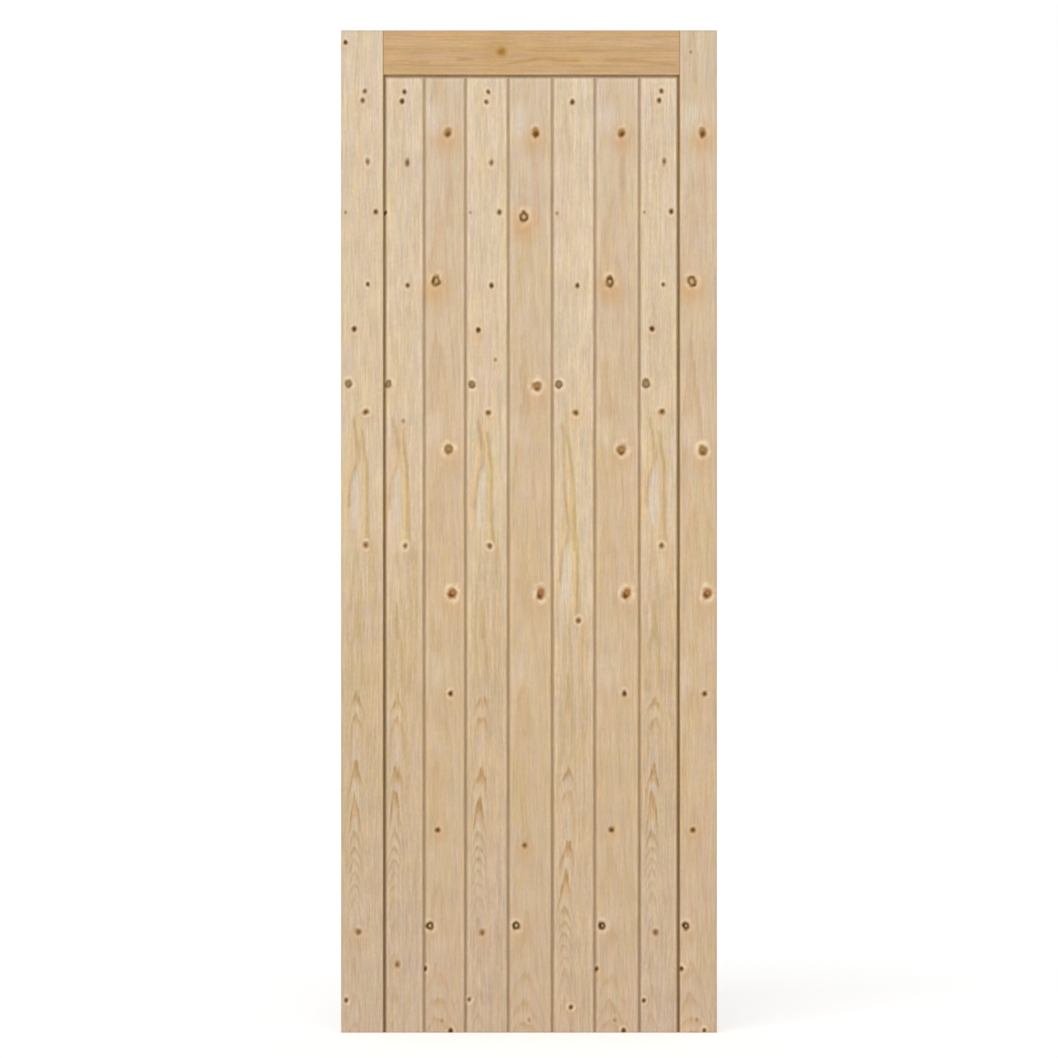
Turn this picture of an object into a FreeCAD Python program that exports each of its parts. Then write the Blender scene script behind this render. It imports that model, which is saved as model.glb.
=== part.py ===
# Framed, ledged and braced timber door leaf, 762 x 2032 x 44 mm.
#
# Two full-height stiles and a top rail make the frame. Seven tongued, grooved and
# V-jointed boards fill it: they run from a groove under the top rail down to the foot
# of the door, over the front of a middle ledge and a bottom ledge. Two braces rise
# from the hinge side behind the boards. Rail and ledges are tenoned right through the
# stiles, and each tenon is spread by a pair of wedges driven in from the edge.
#
# X runs across the door from the hinge edge, Y from front to back with 0 at half the
# thickness, and Z up from the foot. Sketches measure depth from the front face.
# All lengths are in millimetres.

import FreeCAD
import Part
import Sketcher
import os

# Driving dimensions: alias, number, meaning.
DRIVING_SIZES = (
    ("door_width", 762.0, "over both stiles, 2 ft 6 in"),
    ("door_height", 2032.0, "foot to top, 6 ft 8 in"),
    ("door_thickness", 44.0, "of stiles and top rail"),
    ("hinge_stile_width", 86.0, "face of the left stile"),
    ("lock_stile_width", 76.0, "face of the right stile"),
    ("top_rail_depth", 91.0, "face of the top rail"),
    ("middle_ledge_depth", 195.0, "face of the middle ledge"),
    ("middle_ledge_height", 780.0, "foot of the door to the middle ledge"),
    ("bottom_ledge_depth", 195.0, "face of the bottom ledge"),
    ("brace_width", 95.0, "square across a brace"),
    ("brace_setback", 20.0, "corner of a brace to the stile"),
    ("board_thickness", 17.0, "of the match boarding"),
    ("board_chamfer", 3.5, "each half of a V joint, both faces"),
    ("frame_gap", 3.0, "shadow gap from boards to frame"),
    ("tongue_thickness", 5.0, "of every board tongue"),
    ("tongue_length", 8.0, "of every board tongue"),
    ("tongue_clearance", 0.2, "beside a tongue, each face"),
    ("tongue_end_gap", 1.0, "beyond the tip of a tongue"),
    ("tenon_thickness", 15.0, "of every tenon"),
    ("tenon_height", 50.0, "of every tenon"),
    ("wedge_length", 50.0, "of a tenon wedge"),
    ("wedge_butt", 6.0, "thick end of a tenon wedge"),
    ("arris", 1.0, "chamfer along the edges of frame timbers"),
    ("board_1_extra", -5.4, "wider or narrower than an even share"),
    ("board_2_extra", -0.9, "wider or narrower than an even share"),
    ("board_3_extra", 1.6, "wider or narrower than an even share"),
    ("board_4_extra", 4.6, "wider or narrower than an even share"),
    ("board_5_extra", 1.1, "wider or narrower than an even share"),
    ("board_6_extra", 5.6, "wider or narrower than an even share"),
)
BOARD_COUNT = 7
# Two places closer than this are the same place.
NEGLIGIBLE = 0.001


class Size:
    """A length that carries its number and the sheet expression it comes from."""

    def __init__(self, value, text):
        self.value = value
        self.text = text

    def __add__(self, other):
        return Size(self.value + other.value, f"{self.text} + {other.text}")

    def __sub__(self, other):
        return Size(self.value - other.value, f"{self.text} - ({other.text})")

    def __mul__(self, factor):
        return Size(self.value * factor, f"({self.text}) * {factor}")

    def __truediv__(self, factor):
        return Size(self.value / factor, f"({self.text}) / {factor}")


ZERO = Size(0.0, "0")

doc = FreeCAD.newDocument("LedgedAndBracedDoor")
sheet = doc.addObject("Spreadsheet::Sheet", "Sizes")
size = {}
for row, (alias, number, meaning) in enumerate(DRIVING_SIZES, start=1):
    sheet.set(f"A{row}", meaning)
    sheet.set(f"B{row}", str(number))
    sheet.setAlias(f"B{row}", alias)
    size[alias] = Size(number, f"Sizes.{alias}")
doc.recompute()

# Places shared by pieces that meet, all from the driving dimensions.
width = size["door_width"]
height = size["door_height"]
thickness = size["door_thickness"]
arris = size["arris"]
chamfer = size["board_chamfer"]
hinge_inner = size["hinge_stile_width"]
lock_inner = width - size["lock_stile_width"]
rail_foot = height - size["top_rail_depth"]
ledge_face = size["board_thickness"]
tongue_front = (size["board_thickness"] - size["tongue_thickness"]) / 2
tongue_back = (size["board_thickness"] + size["tongue_thickness"]) / 2
groove_front = tongue_front - size["tongue_clearance"]
groove_back = tongue_back + size["tongue_clearance"]
board_groove = size["tongue_length"] + size["tongue_end_gap"]
frame_groove = board_groove - size["frame_gap"]
tenon_back = ledge_face + size["tenon_thickness"]
board_shoulder = rail_foot - size["frame_gap"]
board_top = board_shoulder + size["tongue_length"]
middle_top = size["middle_ledge_height"] + size["middle_ledge_depth"]


def tenon_span(foot, depth, share):
    """Foot and top of a tenon whose middle lies at a share of the timber's depth."""
    middle = foot + depth * share
    half = size["tenon_height"] / 2
    return middle - half, middle + half


TOP_TENONS = [tenon_span(rail_foot, size["top_rail_depth"], 0.5)]
MIDDLE_TENONS = [
    tenon_span(size["middle_ledge_height"], size["middle_ledge_depth"], share)
    for share in (0.25, 0.75)
]
BOTTOM_TENONS = [tenon_span(ZERO, size["bottom_ledge_depth"], share) for share in (0.25, 0.75)]


def new_body(label):
    """An empty body whose local Y is the depth behind the door's front face."""
    body = doc.addObject("PartDesign::Body", label)
    body.Label = label
    body.setExpression("Placement.Base.y", "-Sizes.door_thickness / 2")
    return body


def new_sketch(body, name, role, offset=ZERO):
    """A sketch on one of the body's own planes, set off along that plane's normal."""
    sketch = body.newObject("Sketcher::SketchObject", f"{body.Label}_{name}")
    plane = [feature for feature in body.Origin.OriginFeatures if feature.Role == role][0]
    sketch.AttachmentSupport = [(plane, "")]
    sketch.MapMode = "FlatFace"
    sketch.setExpression("AttachmentOffset.Base.z", offset.text)
    return sketch


def add_lines(sketch, corners):
    """A closed run of lines through the corners. Returns the first line's index."""
    first = sketch.GeometryCount
    points = [FreeCAD.Vector(across.value, up.value, 0) for across, up in corners]
    lines = list(zip(points, points[1:] + points[:1]))
    for start, end in lines:
        sketch.addGeometry(Part.LineSegment(start, end), False)
    for index in range(len(lines)):
        following = first + (index + 1) % len(lines)
        sketch.addConstraint(Sketcher.Constraint("Coincident", first + index, 2, following, 1))
    return first


def hold(sketch, line, corner):
    """Ties the start of a line to its two sizes from the sketch's origin."""
    for kind, distance in zip(("DistanceX", "DistanceY"), corner):
        constraint = Sketcher.Constraint(kind, -1, 1, line, 1, distance.value)
        index = sketch.addConstraint(constraint)
        sketch.setExpression(f"Constraints[{index}]", distance.text)


def add_outline(sketch, corners):
    """A closed outline with every corner held by its sizes."""
    first = add_lines(sketch, corners)
    for index, corner in enumerate(corners):
        hold(sketch, first + index, corner)


def rectangle(left, right, foot, top):
    """Corners of an upright rectangle."""
    return [(left, foot), (right, foot), (right, top), (left, top)]


def add_pad(body, sketch, length, reverse=False):
    """Extrudes a sketch along its normal, or against it."""
    pad = body.newObject("PartDesign::Pad", f"{sketch.Name}_pad")
    pad.Profile = sketch
    pad.Reversed = reverse
    pad.setExpression("Length", length.text)
    body.Tip = pad
    doc.recompute()
    return pad


def add_pocket(body, sketch, length=None, reverse=False):
    """Cuts a sketch away, to a length or right through, and checks that it cut."""
    before = body.Shape.Volume
    pocket = body.newObject("PartDesign::Pocket", f"{sketch.Name}_pocket")
    pocket.Profile = sketch
    pocket.Reversed = reverse
    if length is None:
        pocket.Type = "ThroughAll"
        pocket.SideType = "Symmetric"
    else:
        pocket.setExpression("Length", length.text)
    body.Tip = pocket
    doc.recompute()
    if not body.Shape.Volume < before:
        raise RuntimeError(f"{sketch.Name} cut nothing")
    return pocket


def make_stile(label, outer, inward):
    """A stile with its board groove and the flared mortises for rail and ledges.

    outer is the stile's outer edge, and inward gives the place a length in from it.
    """
    body = new_body(label)
    stile_width = size[f"{label}_width"]
    section = new_sketch(body, "section", "XY_Plane")
    add_outline(section, [
        (inward(arris), ZERO),
        (inward(stile_width - arris), ZERO),
        (inward(stile_width), arris),
        (inward(stile_width), thickness - arris),
        (inward(stile_width - arris), thickness),
        (inward(arris), thickness),
        (outer, thickness - arris),
        (outer, arris),
    ])
    add_pad(body, section, height)

    groove = new_sketch(body, "groove", "XY_Plane")
    floor = inward(stile_width - frame_groove)
    add_outline(groove, rectangle(floor, inward(stile_width), groove_front, groove_back))
    add_pocket(body, groove, rail_foot + frame_groove, reverse=True)

    mortises = new_sketch(body, "mortises", "XZ_Plane", ZERO - ledge_face)
    for foot, top in TOP_TENONS + MIDDLE_TENONS + BOTTOM_TENONS:
        add_outline(mortises, [
            (outer, foot - size["wedge_butt"]),
            (inward(size["wedge_length"]), foot),
            (inward(stile_width), foot),
            (inward(stile_width), top),
            (inward(size["wedge_length"]), top),
            (outer, top + size["wedge_butt"]),
        ])
    add_pocket(body, mortises, size["tenon_thickness"])
    return body


def make_wedges(label, outer, inward, tenons):
    """The wedges above and below each tenon of one joint, flush with the door's edge."""
    body = new_body(label)
    sketch = new_sketch(body, "faces", "XZ_Plane", ZERO - ledge_face)
    tip = inward(size["wedge_length"])
    for foot, top in tenons:
        add_outline(sketch, [(outer, top), (tip, top), (outer, top + size["wedge_butt"])])
        add_outline(sketch, [(outer, foot), (outer, foot - size["wedge_butt"]), (tip, foot)])
    add_pad(body, sketch, size["tenon_thickness"], reverse=True)
    return body


def add_tenons(body, tenons):
    """Tenons on both ends of a cross timber, flush with the edges of the door."""
    sketch = new_sketch(body, "tenons", "YZ_Plane")
    for foot, top in tenons:
        add_outline(sketch, rectangle(ledge_face, tenon_back, foot, top))
    add_pad(body, sketch, width)


def make_top_rail():
    """The top rail, full thickness, grooved underneath for the tops of the boards."""
    body = new_body("top_rail")
    section = new_sketch(body, "section", "YZ_Plane", hinge_inner)
    add_outline(section, [
        (arris, rail_foot),
        (groove_front, rail_foot),
        (groove_front, rail_foot + frame_groove),
        (groove_back, rail_foot + frame_groove),
        (groove_back, rail_foot),
        (thickness - arris, rail_foot),
        (thickness, rail_foot + arris),
        (thickness, height - arris),
        (thickness - arris, height),
        (arris, height),
        (ZERO, height - arris),
        (ZERO, rail_foot + arris),
    ])
    add_pad(body, section, lock_inner - hinge_inner)
    add_tenons(body, TOP_TENONS)
    return body


def make_ledge(label, foot, depth, tenons):
    """A ledge behind the boards, flush with the back of the stiles."""
    body = new_body(label)
    section = new_sketch(body, "section", "YZ_Plane", hinge_inner)
    top = foot + depth
    add_outline(section, [
        (ledge_face, foot),
        (thickness - arris, foot),
        (thickness, foot + arris),
        (thickness, top - arris),
        (thickness - arris, top),
        (ledge_face, top),
    ])
    add_pad(body, section, lock_inner - hinge_inner)
    add_tenons(body, tenons)
    return body


def make_brace(label, foot, top):
    """A brace that rises from the hinge side, cut level at both ends."""
    body = new_body(label)
    sketch = new_sketch(body, "face", "XZ_Plane", ZERO - ledge_face)
    low_corner = (hinge_inner + size["brace_setback"], foot)
    high_corner = (lock_inner - size["brace_setback"], top)
    # First guess for the level cuts: a brace near 45 degrees. The solver settles them.
    cut = size["brace_width"] * 1.4
    foot_line = add_lines(sketch, [
        low_corner,
        (low_corner[0] + cut, foot),
        high_corner,
        (high_corner[0] - cut, top),
    ])
    lower_side, top_line, upper_side = foot_line + 1, foot_line + 2, foot_line + 3
    hold(sketch, foot_line, low_corner)
    hold(sketch, top_line, high_corner)
    sketch.addConstraint(Sketcher.Constraint("Horizontal", foot_line))
    sketch.addConstraint(Sketcher.Constraint("Horizontal", top_line))
    sketch.addConstraint(Sketcher.Constraint("Parallel", lower_side, upper_side))
    across = Sketcher.Constraint("Distance", foot_line, 1, lower_side, size["brace_width"].value)
    sketch.setExpression(f"Constraints[{sketch.addConstraint(across)}]", size["brace_width"].text)
    pad = add_pad(body, sketch, thickness - ledge_face, reverse=True)

    back_edges = []
    for number, edge in enumerate(pad.Shape.Edges, start=1):
        box = edge.BoundBox
        if thickness.value - box.YMin < NEGLIGIBLE < box.ZLength:
            back_edges.append(f"Edge{number}")
    easing = body.newObject("PartDesign::Chamfer", f"{label}_arris")
    easing.Base = (pad, back_edges)
    easing.setExpression("Size", arris.text)
    body.Tip = easing
    doc.recompute()
    return body


def make_board(number, left, right):
    """One board: a tongue on its left edge, a groove on its right and a tongue on top.

    The last board has a second tongue on the right, for the lock stile.
    """
    body = new_body(f"board_{number}")
    board_back = size["board_thickness"]
    if number == BOARD_COUNT:
        reach, front, back = right + size["tongue_length"], tongue_front, tongue_back
    else:
        reach, front, back = right - board_groove, groove_front, groove_back
    tip = left - size["tongue_length"]
    section = new_sketch(body, "section", "XY_Plane")
    add_outline(section, [
        (left + chamfer, ZERO),
        (right - chamfer, ZERO),
        (right, chamfer),
        (right, front),
        (reach, front),
        (reach, back),
        (right, back),
        (right, board_back - chamfer),
        (right - chamfer, board_back),
        (left + chamfer, board_back),
        (left, board_back - chamfer),
        (left, tongue_back),
        (tip, tongue_back),
        (tip, tongue_front),
        (left, tongue_front),
        (left, chamfer),
    ])
    add_pad(body, section, board_top)

    shoulders = new_sketch(body, "shoulders", "YZ_Plane")
    add_outline(shoulders, [
        (ZERO, board_top),
        (ZERO, board_shoulder - chamfer),
        (chamfer, board_shoulder),
        (tongue_front, board_shoulder),
        (tongue_front, board_top),
    ])
    add_outline(shoulders, [
        (tongue_back, board_top),
        (tongue_back, board_shoulder),
        (board_back - chamfer, board_shoulder),
        (board_back, board_shoulder - chamfer),
        (board_back, board_top),
    ])
    add_pocket(body, shoulders)
    return body


def make_boards():
    """All the boards, an even share of the opening each, give or take their extra."""
    left = hinge_inner + size["frame_gap"]
    last_right = lock_inner - size["frame_gap"]
    share = (last_right - left) / BOARD_COUNT
    boards = []
    for number in range(1, BOARD_COUNT + 1):
        last = number == BOARD_COUNT
        right = last_right if last else left + share + size[f"board_{number}_extra"]
        boards.append(make_board(number, left, right))
        left = right
    return boards


def from_hinge_edge(distance):
    """A place that far in from the hinge edge."""
    return distance


def from_lock_edge(distance):
    """A place that far in from the lock edge."""
    return width - distance


pieces = [
    make_stile("hinge_stile", ZERO, from_hinge_edge),
    make_stile("lock_stile", width, from_lock_edge),
    make_top_rail(),
    make_ledge("middle_ledge", size["middle_ledge_height"], size["middle_ledge_depth"], MIDDLE_TENONS),
    make_ledge("bottom_ledge", ZERO, size["bottom_ledge_depth"], BOTTOM_TENONS),
    make_brace("upper_brace", middle_top, rail_foot),
    make_brace("lower_brace", size["bottom_ledge_depth"], size["middle_ledge_height"]),
]
pieces += make_boards()
for joint, tenons in (("top", TOP_TENONS), ("middle", MIDDLE_TENONS), ("bottom", BOTTOM_TENONS)):
    pieces.append(make_wedges(f"hinge_{joint}_wedges", ZERO, from_hinge_edge, tenons))
    pieces.append(make_wedges(f"lock_{joint}_wedges", width, from_lock_edge, tenons))

doc.recompute()
for item in doc.Objects:
    if "Invalid" in item.State or "Error" in item.State:
        raise RuntimeError(f"{item.Label} failed: {item.State}")
for piece in pieces:
    if piece.Shape.isNull() or not piece.Shape.isValid() or not piece.Shape.Solids:
        raise RuntimeError(f"{piece.Label} has no valid solid")

os.makedirs("parts", exist_ok=True)
for piece in pieces:
    piece.Shape.exportStep(f"parts/{piece.Label}.step")
    print(piece.Label, len(piece.Shape.Solids), round(piece.Shape.Volume))
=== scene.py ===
"""Dresses the framed, ledged and braced door leaf in planed redwood and lights it.

Objects are in metres in the door's own frame: X runs across from the hinge edge, Y from
the boarded front to the back, Z up from the foot. Sizes in the wood are in millimetres.
"""

import logging
import math
from dataclasses import dataclass, field, replace
from enum import Enum
from functools import cached_property, partial

import bmesh
import bpy
from mathutils import Matrix, Vector


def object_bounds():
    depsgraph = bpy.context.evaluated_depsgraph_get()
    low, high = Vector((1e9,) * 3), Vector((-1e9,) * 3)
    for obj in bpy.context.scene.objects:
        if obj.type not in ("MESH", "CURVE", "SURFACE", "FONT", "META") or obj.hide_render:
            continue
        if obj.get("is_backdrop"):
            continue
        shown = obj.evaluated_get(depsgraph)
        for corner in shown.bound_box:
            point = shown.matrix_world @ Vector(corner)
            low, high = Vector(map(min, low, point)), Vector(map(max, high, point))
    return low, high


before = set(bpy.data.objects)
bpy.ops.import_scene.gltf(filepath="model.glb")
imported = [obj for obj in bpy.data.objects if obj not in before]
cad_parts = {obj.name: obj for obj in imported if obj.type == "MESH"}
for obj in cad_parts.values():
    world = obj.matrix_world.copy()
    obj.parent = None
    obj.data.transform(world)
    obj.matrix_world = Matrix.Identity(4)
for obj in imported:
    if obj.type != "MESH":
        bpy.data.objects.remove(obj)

LOG = logging.getLogger("door")
MM = 0.001
CAD_BOX = [list(corner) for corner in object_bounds()]

# Corners this close are one, and those this near the foremost one lie on the flat front face.
SAME_PLACE = 0.01 * MM
FACE_DEPTH = 0.1 * MM
# Faces that meet flatter than this are one, those past the next meet in a real edge, and only
# edges past the last are sanded round, by a width. Angles are in radians.
FLAT_ANGLE = math.radians(0.5)
REAL_EDGE_ANGLE = 0.3
SHARP_ANGLE = math.radians(25)
ARRIS_WIDTH = 0.6 * MM

Colour = tuple[float, float, float, float]
Spot = tuple[float, float, float]
Points = tuple[tuple[float, float], ...]
Socket = bpy.types.NodeSocket
Sockets = dict[str, tuple[str, ...]]

MATH = "ShaderNodeMath"
VECTOR_MATH = "ShaderNodeVectorMath"
MAP_RANGE = "ShaderNodeMapRange"
CURVE = "ShaderNodeFloatCurve"
MIX = "ShaderNodeMix"
SPLIT = "ShaderNodeSeparateXYZ"
JOIN = "ShaderNodeCombineXYZ"
GROUP = "ShaderNodeGroup"


class Op(Enum):
    """Sums on numbers, and on vectors where the name starts with V."""

    ABSOLUTE = (MATH, "ABSOLUTE")
    ADD = (MATH, "ADD")
    DIVIDE = (MATH, "DIVIDE")
    FLOOR = (MATH, "FLOOR")
    FRACT = (MATH, "FRACT")
    MAXIMUM = (MATH, "MAXIMUM")
    MULTIPLY = (MATH, "MULTIPLY")
    MULTIPLY_ADD = (MATH, "MULTIPLY_ADD")
    SUBTRACT = (MATH, "SUBTRACT")
    V_ABSOLUTE = (VECTOR_MATH, "ABSOLUTE")
    V_ADD = (VECTOR_MATH, "ADD")
    V_DISTANCE = (VECTOR_MATH, "DISTANCE")
    V_DOT_PRODUCT = (VECTOR_MATH, "DOT_PRODUCT")
    V_LENGTH = (VECTOR_MATH, "LENGTH")
    V_MULTIPLY = (VECTOR_MATH, "MULTIPLY")
    V_MULTIPLY_ADD = (VECTOR_MATH, "MULTIPLY_ADD")
    V_SCALE = (VECTOR_MATH, "SCALE")
    V_SUBTRACT = (VECTOR_MATH, "SUBTRACT")


def linear(code: str) -> Colour:
    """Turns an sRGB hex colour into linear light.

    Args:
        code: six hex digits after a hash sign.

    Returns:
        Red, green, blue and an alpha of 1.
    """
    shares = [int(code[place:place + 2], 16) / 255 for place in (1, 3, 5)]
    lit = [share / 12.92 if share <= 0.04045 else ((share + 0.055) / 1.055) ** 2.4 for share in shares]
    return (lit[0], lit[1], lit[2], 1.0)


def add_node(tree: bpy.types.NodeTree, kind: str | Op, wires: dict | tuple = (), points: Points = (),
             **settings: object) -> Socket | None:
    """Adds one node with its settings, and links or sets its inputs.

    Args:
        tree: the node tree that gets the node.
        kind: Blender's name of the node type, or a sum.
        wires: the sockets or values that the inputs take, in order or by name or number.
        points: what a curve node's smooth curve runs through, from left to right, all from 0 to 1.
        settings: properties of the node itself.

    Returns:
        The node's first output in use, if it has any.
    """
    if isinstance(kind, Op):
        kind, settings["operation"] = kind.value
    node = tree.nodes.new(kind)
    for name, value in settings.items():
        setattr(node, name, value)
    for name, value in wires.items() if isinstance(wires, dict) else enumerate(wires):
        if isinstance(value, Socket):
            tree.links.new(value, node.inputs[name])
        else:
            node.inputs[name].default_value = value
    if points:
        bends = node.mapping.curves[0].points
        for across, up in points[1:-1]:
            bends.new(across, up)
        for place, bend in zip(points, bends):
            bend.location = place
            bend.handle_type = "AUTO_CLAMPED"
        node.mapping.update()
    return next((socket for socket in node.outputs if socket.enabled), None)


@dataclass(frozen=True)
class KnotLook:
    """How one kind of knot shows on a planed face.

    Ring is its wood, dark its bark and core its pale middle, of which open is the share that
    shows. The dark lies at a spot, or round it at the rim, and spreads from there, in
    half-widths of the knot. Halo and blush are how pale and how resinous the wood around it
    is, tall is its height over its width, and soft how far its edge fades.
    """

    ring: str
    dark: str
    core: str = "#D8B68A"
    open: float = 0.0
    spot: tuple[float, float] = (0.0, 0.0)
    rim: float = 0.0
    spread: float = 0.8
    halo: float = 0.5
    blush: float = 0.1
    tall: float = 1.2
    soft: float = 0.7


class Knot(Enum):
    """The kinds of knot in these boards, from faint specks to whole branches."""

    PIN = KnotLook(ring="#84653D", dark="#563A17", halo=0.9)
    FAINT = KnotLook(ring="#97795A", dark="#6F5639", halo=0.8, tall=1.6)
    GHOST = KnotLook(ring="#B59B74", dark="#9C815A", halo=0.2, tall=1.3, soft=0.7)
    GOLDEN = KnotLook(ring="#957139", dark="#68470F", halo=0.9, blush=0.2, tall=0.95)
    STRAW = KnotLook(ring="#8A672F", dark="#5E3F0C", halo=0.3, blush=0.3, tall=0.95)
    LIVE = KnotLook(ring="#967246", dark="#7D582D", halo=0.9, soft=0.7)
    SOUND = KnotLook(ring="#9A7649", dark="#835D32", halo=0.4, blush=0.2, soft=0.8)
    DARK = KnotLook(ring="#7A5629", dark="#4E2F0B", spread=0.9, halo=0.9, blush=0.2)
    AMBER = KnotLook(ring="#B28645", dark="#A0732F", spread=1.0, halo=0.4, blush=0.3, tall=1.1, soft=0.95)
    RING = KnotLook(ring="#957A50", dark="#74582E", core="#B2966C", open=0.35, rim=0.8, spread=0.45,
                    halo=0.9, tall=1.15, soft=0.5)
    DEAD = KnotLook(ring="#6C4F26", dark="#2F1B04", core="#C8AA72", open=0.9, spot=(-0.8, 0.1), spread=1.3,
                    halo=0.5, tall=1.1, soft=0.4)
    TIGHT = KnotLook(ring="#B58C58", dark="#6E4315", spot=(0.1, -0.4), spread=1.2, halo=0.6, blush=0.45,
                     tall=1.3, soft=0.4)
    ENCASED = KnotLook(ring="#94703C", dark="#4E310C", core="#D8B384", open=0.9, rim=0.8, spread=0.6,
                       halo=0.9, blush=0.5, tall=1.25, soft=0.4)
    ROUND = KnotLook(ring="#9F7844", dark="#7D5620", core="#BD955C", open=0.6, spot=(0.0, -0.6), halo=1.0,
                     blush=0.2, tall=1.1, soft=0.4)
    RED = KnotLook(ring="#A2703C", dark="#633809", core="#C18F58", open=0.6, spot=(-0.25, -0.45), spread=1.1,
                   halo=1.0, blush=0.2, tall=1.3, soft=0.5)


# Knots by kind, as spots: mm across from the hinge edge, mm up from the foot, and width in mm.
Knots = dict[Knot, tuple[Spot, ...]]


@dataclass(frozen=True)
class Vein:
    """One soft line or patch that runs with the grain.

    Path is mm along the timber, from its low end, and mm sideways from the figure's axis. Share
    is how much of the colour shows, and taper over how many mm each end fades.
    """

    path: Points
    half_width: float
    colour: str
    share: float
    taper: float = 16.0


@dataclass(frozen=True)
class Figure:
    """How a timber was sawn: where its growth rings cut the face.

    Climb is how many rings the saw has cut through at a height in mm along the timber: a ring
    draws an arch where it reaches a whole number. Pith is how deep the heart lies under the
    face there, so a shallow one draws narrow arches, and wander how far it leaves the axis.
    Bold is how plainly each ring shows, amber how resinous the wood is at a height, and fade
    is from which mm to which off the axis the rings fade, and to what share.
    """

    pith: Points
    ring_width: float
    climb: Points
    bold: tuple[float, ...]
    amber: Points = ((0, 0.1), (1, 0.1))
    wander: Points = ((0, 0.0), (1, 0.0))
    fade: Spot = (10.0, 28.0, 0.8)
    veins: tuple[Vein, ...] = ()


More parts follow.
